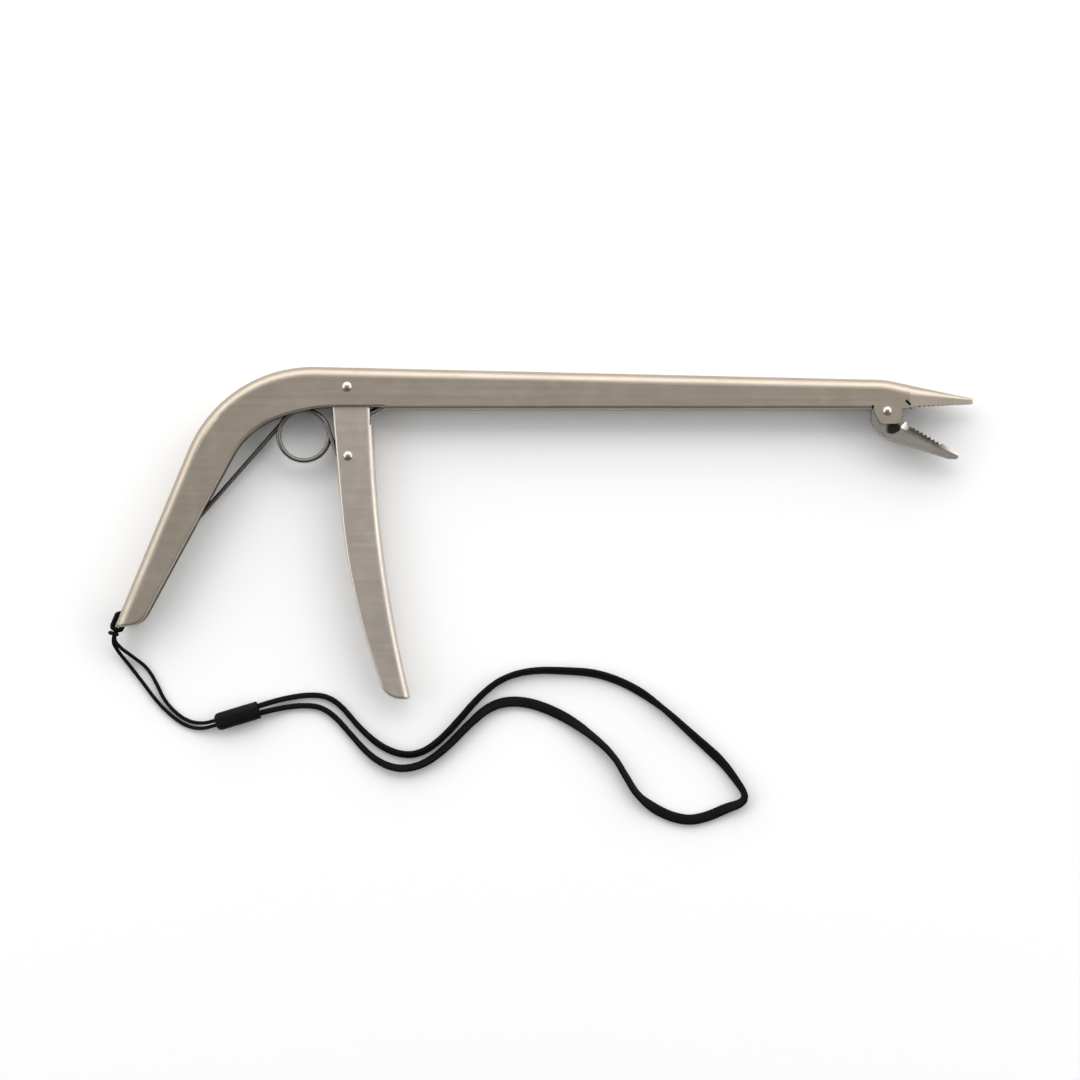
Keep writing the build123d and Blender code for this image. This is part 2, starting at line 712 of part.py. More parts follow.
# ---- lanyard ----
# The string is hitched through the hole and round the end of the handle's back.
down_back = (-cos(radians(handle_angle)), -sin(radians(handle_angle)), 0)
back_plane = Plane(origin=place(*hole), x_dir=down_back, z_dir=(0, 0, 1))
strand = 2 * string_radius
hitch_near, hitch_far = -0.3, lanyard_hole_up - 0.35 + strand
hitch_out, hitch_in = -0.1 - strand, body_sheet + 0.1 + strand
with BuildPart() as lanyard_hitch:
    with BuildSketch(back_plane):
        with Locations(((hitch_near + hitch_far) / 2, (hitch_out + hitch_in) / 2)):
            RectangleRounded(hitch_far - hitch_near, hitch_in - hitch_out, strand)
            RectangleRounded(
                hitch_far - hitch_near - 2 * strand,
                hitch_in - hitch_out - 2 * strand,
                0.2,
                mode=Mode.SUBTRACT,
            )
    extrude(amount=hitch_width / 2, both=True)
write(lanyard_hitch, "lanyard_hitch")


def cord(route, radius):
    """A tube along straight runs joined by arcs as large as the runs allow."""
    runs = [(Vector(*q) - Vector(*p)) for p, q in zip(route, route[1:])]
    radii = [
        0.45 * min(a.length, b.length) / tan(radians(a.get_angle(b) / 2)) for a, b in zip(runs, runs[1:])
    ]
    with BuildPart() as tube:
        with BuildLine() as line:
            FilletPolyline(*route, radius=radii)
        with BuildSketch(Plane(origin=line.wire() @ 0, z_dir=line.wire() % 0)):
            Circle(radius)
        sweep()
    length = line.wire().length
    section = pi * radius**2
    print(f"cord {length:.1f} long, tube volume / section {tube.part.volume / section:.1f}")
    print("radii", [round(r, 1) for r in radii])
    return tube


string_upper = [
    (-120.73, -27.19, 5.8),
    (-121.5, -29.6, 5.1),
    (-119.9, -32.1, 3.4),
    (-116.2, -34.9, 1.6),
    (-112.2, -38.0, 0.7),
    (-109.7, -42.3, 0.6),
    (-107.5, -47.2, 0.6),
    (-103.6, -51.4, 0.6),
    (-99.9, -53.4, 0.7),
    (-96.4, -53.7, 1.3),
    (-93.95, -53.14, 2.1),
    (-89.74, -51.86, 2.1),
]
string_lower = [
    (-120.73, -27.19, 4.6),
    (-122.0, -30.0, 3.8),
    (-120.7, -33.0, 2.1),
    (-117.6, -36.9, 0.8),
    (-113.6, -42.1, 0.6),
    (-109.3, -47.9, 0.6),
    (-104.5, -52.5, 0.6),
    (-100.2, -54.9, 0.6),
    (-96.5, -55.2, 1.3),
    (-93.57, -54.38, 2.1),
    (-89.36, -53.11, 2.1),
]
wrist_loop = [
    (-84.10, -49.79, 2.1),
    (-80.37, -48.65, 2.1),
    (-76.6, -47.5, 1.6),
    (-72.6, -46.5, 0.95),
    (-66.8, -45.6, 0.9),
    (-61.4, -46.0, 0.9),
    (-57.2, -48.9, 0.9),
    (-52.2, -55.1, 0.9),
    (-46.0, -60.5, 0.9),
    (-39.6, -62.8, 0.9),
    (-34.6, -62.0, 0.9),
    (-30.0, -58.9, 0.9),
    (-24.9, -53.7, 0.9),
    (-18.6, -46.2, 0.9),
    (-11.9, -40.8, 0.9),
    (-3.6, -38.6, 0.9),
    (6.0, -38.8, 0.9),
    (15.4, -39.5, 0.9),
    (25.2, -43.4, 0.9),
    (33.8, -49.5, 0.9),
    (42.9, -57.9, 0.9),
    (50.2, -64.4, 0.9),
    (54.6, -70.3, 0.9),
    (56.9, -73.9, 0.9),
    (55.9, -76.2, 0.9),
    (51.6, -77.6, 0.9),
    (45.9, -80.2, 0.9),
    (40.0, -81.3, 0.9),
    (32.6, -78.9, 0.9),
    (26.4, -74.3, 0.9),
    (23.2, -69.0, 0.9),
    (19.6, -62.8, 0.9),
    (14.2, -57.7, 0.9),
    (6.7, -52.3, 0.9),
    (-1.8, -48.4, 0.9),
    (-9.4, -47.2, 0.9),
    (-15.6, -48.9, 0.9),
    (-21.4, -54.0, 0.9),
    (-27.6, -60.5, 0.9),
    (-33.8, -65.2, 0.9),
    (-39.8, -66.7, 0.9),
    (-45.0, -65.6, 0.9),
    (-49.8, -62.4, 0.9),
    (-54.7, -56.9, 0.9),
    (-59.3, -51.6, 0.9),
    (-63.4, -49.0, 0.9),
    (-67.9, -48.6, 0.9),
    (-72.3, -49.0, 0.95),
    (-76.0, -49.7, 1.6),
    (-79.79, -50.57, 2.1),
    (-83.52, -51.70, 2.1),
]
write(cord(string_upper, string_radius), "lanyard_string_upper")
write(cord(string_lower, string_radius), "lanyard_string_lower")
write(cord(wrist_loop, cord_radius), "wrist_cord")

# The sleeve where the string ends and the wrist cord's ends meet, on a crimped ferrule
slider_length = hypot(slider_front[0] - slider_rear[0], slider_front[1] - slider_rear[1])
slider_along = (
    (slider_front[0] - slider_rear[0]) / slider_length,
    (slider_front[1] - slider_rear[1]) / slider_length,
    0,
)
slider_plane = Plane(origin=(*slider_rear, slider_height / 2), x_dir=(0, 0, 1), z_dir=slider_along)
bore_height = slider_height - 2 * slider_wall
bore_width = slider_width - 2 * slider_wall
bore_round = slider_round - slider_wall
with BuildPart() as lanyard_slider:
    with BuildSketch(slider_plane):
        RectangleRounded(slider_height, slider_width, slider_round)
    extrude(amount=slider_length)
    fillet(faces().sort_by_distance(slider_plane.origin)[0].edges(), 0.8 * slider_round)
    with BuildSketch(slider_plane.offset(slider_end_wall)):
        RectangleRounded(bore_height, bore_width, bore_round)
    extrude(amount=slider_length, mode=Mode.SUBTRACT)
    with BuildSketch(slider_plane):
        RectangleRounded(*slider_end_hole, 0.45 * slider_end_hole[0])
    extrude(amount=2 * slider_end_wall, mode=Mode.SUBTRACT)
write(lanyard_slider, "lanyard_slider")
with BuildPart() as slider_ferrule:
    with BuildSketch(slider_plane.offset(ferrule_start)):
        RectangleRounded(bore_height - 2 * face_gap, bore_width - 2 * face_gap, bore_round)
    extrude(amount=ferrule_length)
write(slider_ferrule, "slider_ferrule")
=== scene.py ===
import json
from math import atan2, cos, degrees, hypot, pi, radians, sin

import bpy
import numpy as np
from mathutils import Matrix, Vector


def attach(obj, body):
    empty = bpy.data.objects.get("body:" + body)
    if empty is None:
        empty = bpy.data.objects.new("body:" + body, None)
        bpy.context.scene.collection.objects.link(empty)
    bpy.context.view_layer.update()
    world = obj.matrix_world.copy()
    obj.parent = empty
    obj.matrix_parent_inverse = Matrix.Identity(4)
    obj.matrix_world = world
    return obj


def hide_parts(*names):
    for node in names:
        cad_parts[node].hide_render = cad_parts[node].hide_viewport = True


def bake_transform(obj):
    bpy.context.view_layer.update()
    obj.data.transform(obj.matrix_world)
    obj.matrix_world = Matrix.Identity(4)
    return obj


# A pistol-grip fish gripper in satin stainless steel with a black wrist lanyard. It lies on its side.
# Metres, in the CAD's frame: +X to the nose, +Y from the trigger up to the barrel, +Z out of the side wall.

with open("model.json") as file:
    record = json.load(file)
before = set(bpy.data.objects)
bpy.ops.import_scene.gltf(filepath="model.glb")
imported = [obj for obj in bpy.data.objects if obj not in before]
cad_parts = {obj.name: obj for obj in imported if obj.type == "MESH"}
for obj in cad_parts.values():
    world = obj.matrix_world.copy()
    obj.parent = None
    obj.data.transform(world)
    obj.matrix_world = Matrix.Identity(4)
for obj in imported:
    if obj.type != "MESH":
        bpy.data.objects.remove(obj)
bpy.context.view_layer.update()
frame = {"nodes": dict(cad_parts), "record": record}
scene = bpy.context.scene

MM = 0.001
UP = np.array([0, 0, 1.0])
FLOOR_GAP = 0.05 * MM  # allowance under a cord that is lifted off the floor

joints = {joint["name"]: joint for joint in frame["record"]["behaviour"]["joints"]}
trigger_pivot = joints["trigger_squeeze"]["pos_m"]
jaw_pivot = joints["jaw_hinge"]["pos_m"]

# The open jaw, from its pivot: its slope, the crease under its tooth band, and the joggle behind its scoop;
# the crease and joggle place the jaw's painted shade
JAW_SLOPE = radians(-30.6)
JAW_CREASE_SLOPE, JAW_CREASE_DROP = 0.0875, 2.64 * MM
JAW_JOGGLE = (1.9 * MM, -5.2 * MM)


# ---------------------------------------------------------------- camera
# Straight down with a long lens
camera_data = bpy.data.cameras.new("camera")
camera_data.sensor_width = 36
camera_data.lens = 141.4
camera_data.clip_start, camera_data.clip_end = 0.05, 10
camera = bpy.data.objects.new("camera", camera_data)
camera.location = (-0.00125, -0.00187, 1.2)
scene.collection.objects.link(camera)
scene.camera = camera
scene.view_settings.view_transform = "Standard"


# ---------------------------------------------------------------- node helpers
class Nodes:
    """A material's nodes, with short calls to add and join them."""

    def __init__(self, name):
        self.material = bpy.data.materials.new(name)
        self.material.use_nodes = True
        self.tree = self.material.node_tree
        self.shader = self.tree.nodes["Principled BSDF"]

    def add(self, kind, inputs=(), **settings):
        node = self.tree.nodes.new(kind)
        for key, value in settings.items():
            setattr(node, key, value)
        for key, value in dict(inputs).items():
            self.put(node.inputs[key], value)
        return node

    def put(self, socket, value):
        if isinstance(value, bpy.types.NodeSocket):
            self.tree.links.new(value, socket)
        else:
            socket.default_value = value

    def set(self, **inputs):
        for key, value in inputs.items():
            self.put(self.shader.inputs[key.replace("_", " ")], value)

    def place(self, scale=(1, 1, 1), turn=(0, 0, 0)):
        """The object's own coordinates, scaled and turned."""
        where = self.add("ShaderNodeTexCoord")
        spot = self.add("ShaderNodeMapping", {"Vector": where.outputs["Object"]})
        spot.inputs["Scale"].default_value = scale
        spot.inputs["Rotation"].default_value = turn
        return spot.outputs["Vector"]

    def noise(self, vector, scale, detail=4.0, rough=0.55):
        node = self.add("ShaderNodeTexNoise", {"Vector": vector})
        node.inputs["Scale"].default_value = scale
        node.inputs["Detail"].default_value = detail
        node.inputs["Roughness"].default_value = rough
        return node.outputs["Fac"]

    def span(self, value, low, high, to_low=0.0, to_high=1.0):
        """value from low..high to to_low..to_high, clamped."""
        node = self.add("ShaderNodeMapRange", {"Value": value})
        node.inputs["From Min"].default_value = low
        node.inputs["From Max"].default_value = high
        node.inputs["To Min"].default_value = to_low
        node.inputs["To Max"].default_value = to_high
        return node.outputs["Result"]

    def math(self, operation, a, b=0.0):
        node = self.add("ShaderNodeMath", operation=operation)
        self.put(node.inputs[0], a)
        self.put(node.inputs[1], b)
        return node.outputs["Value"]

    def mix(self, amount, a, b):
        node = self.add("ShaderNodeMix", data_type="RGBA")
        self.put(node.inputs[0], amount)
        self.put(node.inputs[6], a)
        self.put(node.inputs[7], b)
        return node.outputs[2]

    def bump(self, height, distance, strength=1.0, after=None):
        node = self.add("ShaderNodeBump", {"Height": height})
        node.inputs["Distance"].default_value = distance
        node.inputs["Strength"].default_value = strength
        if after is not None:
            self.put(node.inputs["Normal"], after)
        return node.outputs["Normal"]


def tint(colour, factor):
    return tuple(min(1.0, c * factor) for c in colour) + (1.0,)


def satin_nodes(name, colour, rough, grain_turn=0.0, grain=1.0):
    """Satin stainless sheet: a fine grain along it, soft blotches, and a few hair-fine scratches."""
    n = Nodes(name)
    turn = (0, 0, -grain_turn)
    fine = n.noise(n.place((35, 5200, 5200), turn), 1.0, 5.0, 0.7)
    broad = n.noise(n.place((14, 900, 900), turn), 1.0, 3.0, 0.6)
    cloud = n.noise(n.place((60, 60, 60)), 1.0, 4.0, 0.6)
    smudge = n.noise(n.place((210, 210, 210)), 1.0, 3.0, 0.6)
    # Scratches: thin lines where a long, stretched noise crosses its middle, kept to a few patches
    scratch_a = n.noise(n.place((55, 1500, 1500), (0, 0, 0.5 - grain_turn)), 1.0, 1.0, 0.5)
    scratch_b = n.noise(n.place((50, 1300, 1300), (0, 0, -0.35 - grain_turn)), 1.0, 1.0, 0.5)
    line_a = n.span(n.math("ABSOLUTE", n.math("SUBTRACT", scratch_a, 0.5)), 0.0, 0.006, 1.0, 0.0)
    line_b = n.span(n.math("ABSOLUTE", n.math("SUBTRACT", scratch_b, 0.5)), 0.0, 0.005, 1.0, 0.0)
    patch = n.span(n.noise(n.place((95, 95, 95)), 1.0, 2.0, 0.5), 0.52, 0.68)
    lines = n.math("MULTIPLY", n.math("MAXIMUM", line_a, line_b), patch)
    lines = n.math("MULTIPLY", lines, 0.6)
    base = n.mix(n.span(cloud, 0.3, 0.7), tint(colour, 0.94), tint(colour, 1.05))
    base = n.mix(n.span(fine, 0.25, 0.75, 0.0, 0.5 * grain), base, tint(colour, 0.82))
    base = n.mix(lines, base, tint(colour, 1.25))
    gloss = n.span(fine, 0.25, 0.75, rough - 0.05, rough + 0.09)
    gloss = n.math("ADD", gloss, n.span(broad, 0.3, 0.7, -0.03, 0.04))
    gloss = n.math("ADD", gloss, n.span(smudge, 0.45, 0.75, 0.0, 0.07))
    gloss = n.math("SUBTRACT", gloss, n.math("MULTIPLY", lines, 0.12))
    height = n.math("ADD", fine, n.math("MULTIPLY", broad, 0.6))
    height = n.math("SUBTRACT", height, n.math("MULTIPLY", lines, 0.8))
    n.set(Base_Color=base, Metallic=1.0, Roughness=gloss, Anisotropic=0.35)
    n.set(Normal=n.bump(height, 0.012 * MM * grain, 0.55))
    return n


def satin_steel(name, colour, rough, grain_turn=0.0):
    return satin_nodes(name, colour, rough, grain_turn).material


def jaw_steel(name, colour, rough, pivot, slope, joggle):
    """Satin steel with painted shade under the teeth and in the joggle behind the scoop, where it is also
    made rougher.
    """
    n = satin_nodes(name, colour, rough, grain_turn=slope, grain=0.8)
    where = n.add("ShaderNodeTexCoord").outputs["Object"]
    here = n.add("ShaderNodeSeparateXYZ", {"Vector": where})
    x = n.math("SUBTRACT", here.outputs["X"], pivot[0])
    y = n.math("SUBTRACT", here.outputs["Y"], pivot[1])
    # Places along the jaw and up from its pivot, and the height above the crease between tooth band and scoop
    along = n.math("ADD", n.math("MULTIPLY", x, cos(slope)), n.math("MULTIPLY", y, sin(slope)))
    up = n.math("SUBTRACT", n.math("MULTIPLY", y, cos(slope)), n.math("MULTIPLY", x, sin(slope)))
    crease = n.math("SUBTRACT", n.math("MULTIPLY", along, JAW_CREASE_SLOPE), JAW_CREASE_DROP)
    above = n.math("SUBTRACT", up, crease)
    ragged = n.noise(n.place((700, 700, 700)), 1.0, 3.0, 0.6)
    uneven = n.math("SUBTRACT", ragged, 0.5)
    above = n.math("ADD", above, n.math("MULTIPLY", uneven, 0.7 * MM))
    # The band of painted shade starts at the crease and 6 to 8 mm along, is halved on the teeth and fades to
    # the tip
    band = n.span(above, -0.9 * MM, 0.25 * MM)
    band = n.math("MULTIPLY", band, n.span(up, -0.5 * MM, 0.1 * MM, 1.0, 0.5))
    band = n.math("MULTIPLY", band, n.span(along, 6.0 * MM, 8.0 * MM))
    band = n.math("MULTIPLY", band, n.span(along, 17 * MM, 21.5 * MM, 1.0, 0.15))
    # The pocket of painted shade in the joggle is a ragged spot about 2 mm in radius
    from_joggle = n.add("ShaderNodeVectorMath", operation="DISTANCE")
    n.put(from_joggle.inputs[0], n.add("ShaderNodeCombineXYZ", {"X": x, "Y": y}).outputs["Vector"])
    from_joggle.inputs[1].default_value = (joggle[0], joggle[1], 0)
    near = n.math("ADD", from_joggle.outputs["Value"], n.math("MULTIPLY", uneven, 0.6 * MM))
    pocket = n.span(near, 1.7 * MM, 2.6 * MM, 1.0, 0.0)
    # The pocket's painted shade fades out from 3.5 to 3.9 mm on each side of the tool's middle plane
    side = n.math("ABSOLUTE", n.math("SUBTRACT", here.outputs["Z"], pivot[2]))
    pocket = n.math("MULTIPLY", pocket, n.span(side, 3.5 * MM, 3.9 * MM, 1.0, 0.0))
    # Painted shade: the tooth band and the joggle pocket, where shade falls, are darkened towards near black
    painted_shade_mask = n.math("MAXIMUM", n.math("MULTIPLY", band, 0.95), n.math("MULTIPLY", pocket, 0.97))
    base_link = n.shader.inputs["Base Color"].links[0].from_socket
    # The near-black colour mixed in here is painted shade
    n.set(Base_Color=n.mix(painted_shade_mask, base_link, (0.022, 0.020, 0.019, 1)))
    rough_link = n.shader.inputs["Roughness"].links[0].from_socket
    n.set(Roughness=n.math("ADD", rough_link, n.math("MULTIPLY", painted_shade_mask, 0.22)))
    return n.material


def bright_steel(name, colour, rough):
    """Turned or drawn steel: a faint grain, small nicks and a slightly uneven polish."""
    n = Nodes(name)
    turned = n.noise(n.place((900, 900, 900)), 1.0, 4.0, 0.6)
    nicks = n.span(n.noise(n.place((1700, 1700, 1700)), 1.0, 2.0, 0.5), 0.66, 0.74)
    base = n.mix(n.span(turned, 0.3, 0.7), tint(colour, 0.9), tint(colour, 1.06))
    base = n.mix(n.math("MULTIPLY", nicks, 0.35), base, tint(colour, 0.55))
    gloss = n.span(turned, 0.3, 0.7, rough - 0.06, rough + 0.07)
    gloss = n.math("ADD", gloss, n.math("MULTIPLY", nicks, 0.12))
    n.set(Base_Color=base, Metallic=1.0, Roughness=gloss)
    n.set(Normal=n.bump(n.math("SUBTRACT", turned, nicks), 0.01 * MM, 0.5))
    return n.material


def braid_cloth(name, colour, fibres):
    """Black synthetic braid: hair-fine fibres over the strands, dusty and a little paler in patches."""
    n = Nodes(name)
    hair = n.noise(n.place((fibres, fibres, fibres)), 1.0, 5.0, 0.7)
    dust = n.noise(n.place((120, 120, 120)), 1.0, 3.0, 0.6)
    base = n.mix(n.span(hair, 0.3, 0.75), tint(colour, 0.6), tint(colour, 1.7))
    base = n.mix(n.span(dust, 0.5, 0.8, 0.0, 0.35), base, tint(colour, 2.6))
    n.set(Base_Color=base, Roughness=n.span(hair, 0.3, 0.7, 0.72, 0.92))
    n.set(Specular_IOR_Level=0.12)
    n.set(Normal=n.bump(hair, 0.04 * MM, 0.6))
    return n.material


def black_sleeve(name, colour):
    """Matt black moulded sleeve: a fine orange-peel skin and faint scuffs."""
    n = Nodes(name)
    skin = n.noise(n.place((2600, 2600, 2600)), 1.0, 3.0, 0.6)
    scuff = n.noise(n.place((90, 700, 700), (0, 0, -0.3)), 1.0, 4.0, 0.65)
    base = n.mix(n.span(scuff, 0.52, 0.75, 0.0, 0.6), tint(colour, 1.0), tint(colour, 2.4))
    n.set(Base_Color=base, Roughness=n.span(scuff, 0.3, 0.75, 0.55, 0.75))
    n.set(Specular_IOR_Level=0.12)
    n.set(Normal=n.bump(skin, 0.03 * MM, 0.6))
    return n.material


steel_body = satin_steel("steel_body", (0.455, 0.395, 0.325), 0.40)
steel_trigger = satin_steel("steel_trigger", (0.63, 0.565, 0.50), 0.36, grain_turn=radians(98))
steel_jaw = jaw_steel("steel_jaw", (0.47, 0.43, 0.39), 0.27, jaw_pivot, JAW_SLOPE, JAW_JOGGLE)
steel_rod = bright_steel("steel_rod", (0.40, 0.37, 0.34), 0.26)
# The wire's colour is painted darker than the other steel: painted shade standing in for the dark
# surroundings its round sides reflect
steel_wire_painted_dark = bright_steel("steel_wire_painted_dark", (0.21, 0.195, 0.18), 0.24)
steel_rivet = bright_steel("steel_rivet", (0.50, 0.46, 0.42), 0.24)
ferrule_metal = bright_steel("ferrule_metal", (0.72, 0.72, 0.73), 0.35)
cord_black = braid_cloth("cord_black", (0.0032, 0.0032, 0.0034), 5200)
string_black = braid_cloth("string_black", (0.0032, 0.0032, 0.0034), 7800)
sleeve_black = black_sleeve("sleeve_black", (0.003, 0.003, 0.003))


for node, material in (
    ("body_channel", steel_body),
    ("trigger_lever", steel_trigger),
    ("lower_jaw", steel_jaw),
    ("pull_rod", steel_rod),
    ("return_spring", steel_wire_painted_dark),
    ("trigger_pivot_rivet", steel_rivet),
    ("spring_anchor_rivet", steel_rivet),
    ("jaw_pivot_rivet", steel_rivet),
    ("trigger_pivot_bush", steel_rivet),
    ("spring_anchor_bush", steel_rivet),
    ("jaw_pivot_bush", steel_rivet),
    ("rod_rear_pin", steel_rivet),
    ("rod_front_pin", steel_rivet),
    ("slider_ferrule", ferrule_metal),
    ("lanyard_slider", sleeve_black),
    ("lanyard_hitch", string_black),
    ("lanyard_string_upper", string_black),
    ("lanyard_string_lower", string_black),
    ("wrist_cord", cord_black),
):
    data = frame["nodes"][node].data
    data.materials.clear()
    data.materials.append(material)


# ---------------------------------------------------------------- mesh helpers
def add_mesh(name, vertices, faces, material, body):
    data = bpy.data.meshes.new(name)
    data.from_pydata([tuple(v) for v in vertices], [], faces)
    data.update()
    for polygon in data.polygons:
        polygon.use_smooth = True
    data.materials.append(material)
    piece = bpy.data.objects.new(name, data)
    scene.collection.objects.link(piece)
    if body:
        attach(piece, body)
    return piece


def smooth_line(route):
    """The points of a smooth NURBS line whose control points are the route's, in metres."""
    data = bpy.data.curves.new("line", "CURVE")
    data.dimensions = "3D"
    data.resolution_u = 24
    spline = data.splines.new("NURBS")
    spline.points.add(len(route) - 1)
    for point, (x, y, z) in zip(spline.points, route):
        point.co = (x * MM, y * MM, z * MM, 1)
    spline.order_u = 3
    spline.use_endpoint_u = True
    guide = bpy.data.objects.new("line", data)
    scene.collection.objects.link(guide)
    bpy.context.view_layer.update()
    mesh = bpy.data.meshes.new_from_object(guide)
    points = np.array([v.co for v in mesh.vertices])
    bpy.data.objects.remove(guide)
    bpy.data.curves.remove(data)
    bpy.data.meshes.remove(mesh)
    return points


def evenly(points, step):
    """Points every step along a line of close points."""
    runs = np.linalg.norm(np.diff(points, axis=0), axis=1)
    along = np.concatenate([[0], np.cumsum(runs)])
    count = max(2, int(round(along[-1] / step)))
    stations = np.linspace(0, along[-1], count + 1)
    even = np.stack([np.interp(stations, along, points[:, i]) for i in range(3)], axis=1)
    return even, stations


def braid(around, along, strands, pitch):
    """Height, 0 to 1, of a plain braid at a place round the tube (0 to 1) and along it (metres)."""
    a = strands * around + along / pitch
    b = strands * around - along / pitch
    fa, fb = a - np.round(a), b - np.round(b)
    over_a = np.cos(pi * b) * np.where(np.round(a) % 2 == 0, 1, -1)
    over_b = -np.cos(pi * a) * np.where(np.round(b) % 2 == 0, 1, -1)
    ridge_a = np.cos(pi * fa) ** 0.7 * (0.62 + 0.38 * over_a)
    ridge_b = np.cos(pi * fb) ** 0.7 * (0.62 + 0.38 * over_b)
    return np.maximum(ridge_a, ridge_b)


def braided_tube(name, route, size, turns, weave, material, sides, step, end_width=None):
    """A braid along a route, size its width and height, weave its strands each way, pitch and relief.

    It is turned about its line by turns, pairs of (share of its length, degrees). With end_width it is
    drawn together to that width at both ends. It is lifted where it would go into the floor."""
    width, height = size
    strands, pitch, relief = weave
    line, stations = evenly(smooth_line(route), step)
    share = stations / stations[-1]
    from_end = np.minimum(share, 1 - share)
    # Narrow over the first and last 9% of the length, and full width from 15% on
    spread = np.clip((from_end - 0.09) / 0.06, 0, 1)
    width = width + ((end_width or width) - width) * (1 - spread * spread * (3 - 2 * spread))
    roll = np.radians(np.interp(share, [t[0] for t in turns], [t[1] for t in turns]))
    tangent = np.gradient(line, axis=0)
    tangent /= np.linalg.norm(tangent, axis=1)[:, None]
    side = np.cross(UP, tangent)
    side /= np.linalg.norm(side, axis=1)[:, None]
    up = np.cross(tangent, side)
    across = side * np.cos(roll)[:, None] + up * np.sin(roll)[:, None]
    normal = np.cross(tangent, across)
    # Half the turned section's height, as an ellipse, and 3% more because it is squarer than that
    half = np.sqrt((width / 2 * np.sin(roll)) ** 2 + (height / 2 * np.cos(roll)) ** 2)
    line[:, 2] = np.maximum(line[:, 2], half * 1.03 + FLOOR_GAP)
    u = np.arange(sides) / sides
    angle = 2 * pi * u
    # A flattened round section: its faces are nearly flat, its edges round
    squareness = 0.8
    cx = np.sign(np.cos(angle)) * np.abs(np.cos(angle)) ** squareness
    cy = np.sign(np.sin(angle)) * np.abs(np.sin(angle)) ** squareness
    vertices = []
    for i in range(len(line)):
        lift = braid(u, stations[i], strands, pitch)
        grow = -relief * (1 - lift)
        x = (width[i] / 2 + grow) * cx
        y = (height / 2 + grow) * cy
        vertices.append(line[i] + across[i] * x[:, None] + normal[i] * y[:, None])
    vertices = np.concatenate(vertices)
    faces = []
    for i in range(len(line) - 1):
        for j in range(sides):
            k = (j + 1) % sides
            faces.append((i * sides + j, i * sides + k, (i + 1) * sides + k, (i + 1) * sides + j))
    last = (len(line) - 1) * sides
    faces.append(tuple(reversed(range(sides))))
    faces.append(tuple(last + j for j in range(sides)))
    piece = add_mesh(name, vertices, faces, material, None)
    return piece, line


# ---------------------------------------------------------------- lanyard
# The string: two strands from the hitch on the handle's end down to the slider
string_upper_route = [
    (-120.73, -27.19, 5.8),
    (-121.5, -29.6, 5.1),
    (-119.9, -32.1, 3.4),
    (-116.2, -34.9, 1.6),
    (-112.2, -38.0, 0.7),
    (-109.7, -42.3, 0.6),
    (-107.5, -47.2, 0.6),
    (-103.6, -51.4, 0.6),
    (-99.9, -53.4, 0.7),
    (-96.4, -53.7, 1.3),
    (-93.95, -53.14, 2.1),
    (-89.74, -51.86, 2.1),
]
string_lower_route = [
    (-120.73, -27.19, 4.6),
    (-122.0, -30.0, 3.8),
    (-120.7, -33.0, 2.1),
    (-117.6, -36.9, 0.8),
    (-113.6, -42.1, 0.6),
    (-109.3, -47.9, 0.6),
    (-104.5, -52.5, 0.6),
    (-100.2, -54.9, 0.6),
    (-96.5, -55.2, 1.3),
    (-93.57, -54.38, 2.1),
    (-89.36, -53.11, 2.1),
]
# The wrist cord: one closed run from the slider, round the loop and back
wrist_route = [
    (-84.10, -49.79, 2.1),
    (-80.37, -48.65, 2.1),
    (-76.6, -47.5, 1.6),
    (-72.6, -46.5, 0.95),
    (-66.8, -45.6, 0.9),
    (-61.4, -46.0, 0.9),
    (-57.2, -48.9, 0.9),
    (-52.2, -55.1, 0.9),
    (-46.0, -60.5, 0.9),
    (-39.6, -62.8, 0.9),
    (-34.6, -62.0, 0.9),
    (-30.0, -58.9, 0.9),
    (-24.9, -53.7, 0.9),
    (-18.6, -46.2, 0.9),
    (-11.9, -40.8, 0.9),
    (-3.6, -38.6, 0.9),
    (6.0, -38.8, 0.9),
    (15.4, -39.5, 0.9),
    (25.2, -43.4, 0.9),
    (33.8, -49.5, 0.9),
    (42.9, -57.9, 0.9),
    (50.2, -64.4, 0.9),
    (54.6, -70.3, 0.9),
    (56.9, -73.9, 0.9),
    (55.9, -76.2, 0.9),
    (51.6, -77.6, 0.9),
    (45.9, -80.2, 0.9),
    (40.0, -81.3, 0.9),
    (32.6, -78.9, 0.9),
    (26.4, -74.3, 0.9),
    (23.2, -69.0, 0.9),
    (19.6, -62.8, 0.9),
    (14.2, -57.7, 0.9),
    (6.7, -52.3, 0.9),
    (-1.8, -48.4, 0.9),
    (-9.4, -47.2, 0.9),
    (-15.6, -48.9, 0.9),
    (-21.4, -54.0, 0.9),
    (-27.6, -60.5, 0.9),
    (-33.8, -65.2, 0.9),
    (-39.8, -66.7, 0.9),
    (-45.0, -65.6, 0.9),
    (-49.8, -62.4, 0.9),
    (-54.7, -56.9, 0.9),
    (-59.3, -51.6, 0.9),
    (-63.4, -49.0, 0.9),
    (-67.9, -48.6, 0.9),
    (-72.3, -49.0, 0.95),
    (-76.0, -49.7, 1.6),
    (-79.79, -50.57, 2.1),
    (-83.52, -51.70, 2.1),
]

STRING = 1.1 * MM
STRING_SIDES, STRING_STEP = 24, 0.14 * MM
STRING_WEAVE = (4, 0.85 * MM, 0.09 * MM)
KNOT_STRING = 1.4 * MM  # drawn thicker in the hitch
KNOT_WEAVE = (4, 0.95 * MM, 0.11 * MM)
BRAID_WIDTH, BRAID_HEIGHT = 3.0 * MM, 1.6 * MM
BRAID_WEAVE = (8, 1.1 * MM, 0.14 * MM)


def declare_cord(piece, node):
    """A cord that rides the frame and stands in for its CAD node, which it hides."""
    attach(piece, "frame")
    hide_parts(node)


